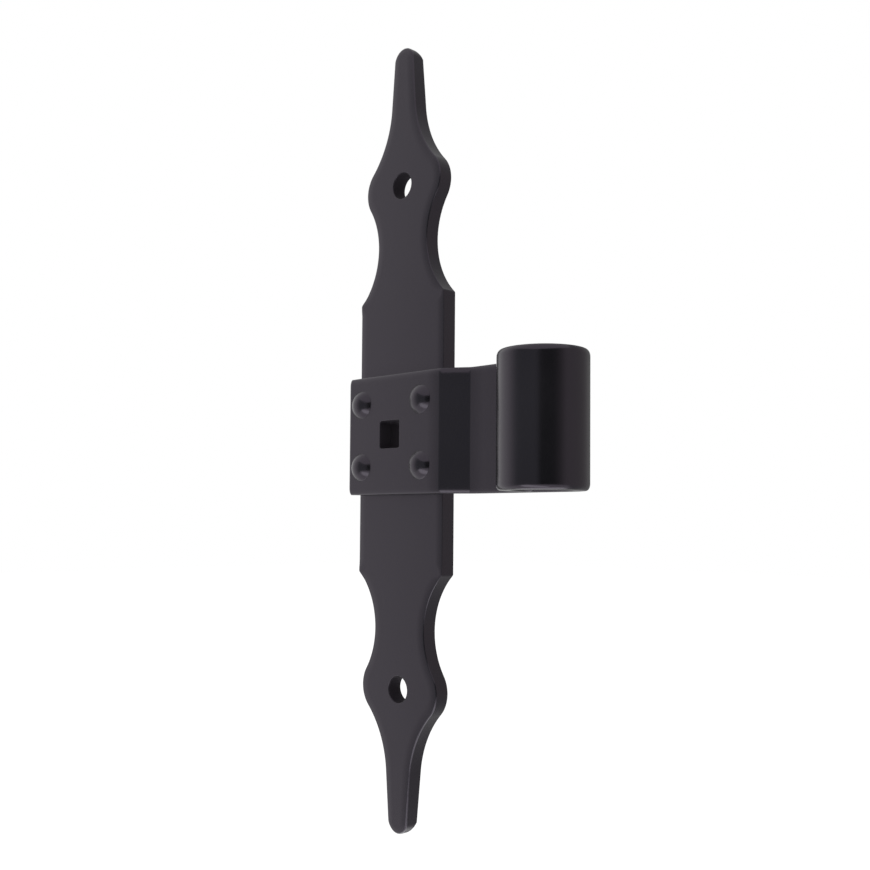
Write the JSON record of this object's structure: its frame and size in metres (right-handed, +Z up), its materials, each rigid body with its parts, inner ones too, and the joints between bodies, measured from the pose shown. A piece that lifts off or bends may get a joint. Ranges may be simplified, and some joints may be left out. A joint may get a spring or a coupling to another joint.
{
  "type": "tee hinge",
  "caption": "Black tee hinge leaf: ornamental screw plate with a riveted, cranked strap whose end is rolled into an eye that turns on a pintle.",
  "frame": {"origin": "middle of the eye's bore, on the pivot axis at half the eye's height", "axes": "+Z up the pivot, -X from the pivot towards the plate, +Y out of the back that lies on the shutter"},
  "size_m": [0.0775, 0.0202, 0.2004],
  "materials": {
    "black_coat": "smooth semi-gloss black powder coat over steel"
  },
  "bodies": {
    "root": {"tee_plate": "black_coat", "eye_strap": "black_coat", "rivets": "black_coat"}
  },
  "joints": []
}
